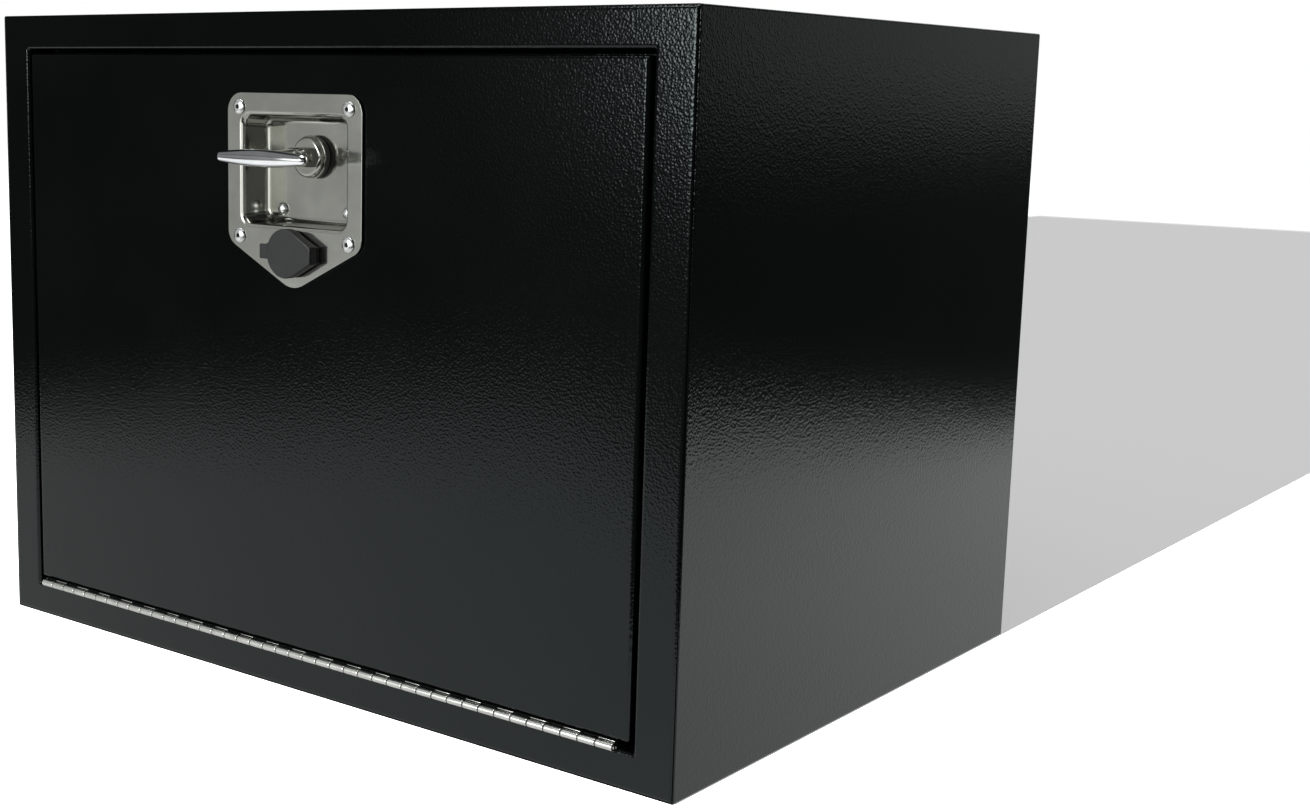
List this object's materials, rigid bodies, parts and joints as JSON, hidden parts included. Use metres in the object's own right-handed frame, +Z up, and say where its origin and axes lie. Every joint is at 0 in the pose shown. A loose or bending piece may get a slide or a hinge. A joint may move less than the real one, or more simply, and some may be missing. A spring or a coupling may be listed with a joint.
{
  "type": "underbody truck tool box",
  "caption": "Black steel underbody tool box with a drop-down door on a continuous hinge, recessed folding T-handle latch, keyed lock under a cover, and door stays.",
  "frame": {"origin": "centre of the bottom face of the box", "axes": "+X to the right as seen from the front, -Y towards the front where the door is, +Z up"},
  "size_m": [0.61, 0.4857, 0.45],
  "materials": {
    "painted_metal": "textured black powder coat",
    "stainless": "satin stainless steel",
    "chrome": "polished chrome plate",
    "aluminium": "bright rivet",
    "zinc": "zinc-plated steel",
    "rubber": "matt moulded rubber"
  },
  "bodies": {
    "box": {"body_shell": "painted_metal", "back_panel": "painted_metal", "door_seal": "rubber", "hinge_frame_leaf": "stainless", "hinge_pin": "stainless", "stay_bracket_left": "zinc", "stay_bracket_right": "zinc", "stay_stud_left": "zinc", "stay_stud_right": "zinc"},
    "door": {"door_skin": "painted_metal", "door_inner_pan": "painted_metal", "hinge_door_leaf": "stainless", "latch_gasket": "rubber", "latch_plate": "stainless", "plate_rivet_1": "aluminium", "plate_rivet_2": "aluminium", "plate_rivet_3": "aluminium", "plate_rivet_4": "aluminium", "tray_rivet_left": "aluminium", "tray_rivet_right": "aluminium", "bearing_plate": "zinc", "spindle_bush": "zinc", "lock_barrel": "chrome", "lock_nut": "zinc", "lock_cover_base": "rubber", "stay_lug_left": "zinc", "stay_lug_right": "zinc", "stay_pivot_left": "zinc", "stay_pivot_right": "zinc"},
    "stay_left": {"stay_arm_left": "zinc"},
    "stay_right": {"stay_arm_right": "zinc"},
    "spindle": {"hub_spindle": "chrome", "hub_ring_seal": "rubber", "thrust_washer": "zinc", "latch_arm": "zinc", "arm_lock_washer": "zinc", "arm_nut": "zinc", "pivot_pin": "chrome"},
    "handle": {"t_handle": "chrome"},
    "plug": {"lock_plug": "zinc", "lock_tongue": "zinc", "tongue_screw": "zinc"},
    "cover": {"lock_cover": "rubber"}
  },
  "joints": [
    {"name": "door_swing", "type": "hinge", "parent": "box", "child": "door", "pos_m": [0, -0.2267, 0.0256], "axis": [1, 0, 0], "range_deg": [0, 90]},
    {"name": "stay_left_turn", "type": "hinge", "parent": "door", "child": "stay_left", "pos_m": [-0.2558, -0.194, 0.24316], "axis": [1, 0, 0], "range_deg": [-45, 0]},
    {"name": "stay_right_turn", "type": "hinge", "parent": "door", "child": "stay_right", "pos_m": [0.2558, -0.194, 0.24316], "axis": [1, 0, 0], "range_deg": [-45, 0]},
    {"name": "handle_turn", "type": "hinge", "parent": "door", "child": "spindle", "pos_m": [0, -0.204, 0.3573], "axis": [0, -1, 0], "range_deg": [-90, 0]},
    {"name": "handle_fold", "type": "hinge", "parent": "spindle", "child": "handle", "pos_m": [0, -0.2213, 0.3573], "axis": [1, 0, 0], "range_deg": [0, 90]},
    {"name": "cover_flip", "type": "hinge", "parent": "door", "child": "cover", "pos_m": [0.0243, -0.2287, 0.2957], "axis": [0, 0, 1], "range_deg": [0, 100], "stiffness_Nm_per_rad": 0.004},
    {"name": "key_turn", "type": "hinge", "parent": "door", "child": "plug", "pos_m": [0, -0.2, 0.2957], "axis": [0, -1, 0], "range_deg": [-90, 0]}
  ],
  "couplings": [
    {"joint": "stay_left_turn", "follows": "door_swing", "ratio": -0.5},
    {"joint": "stay_right_turn", "follows": "door_swing", "ratio": -0.5}
  ]
}
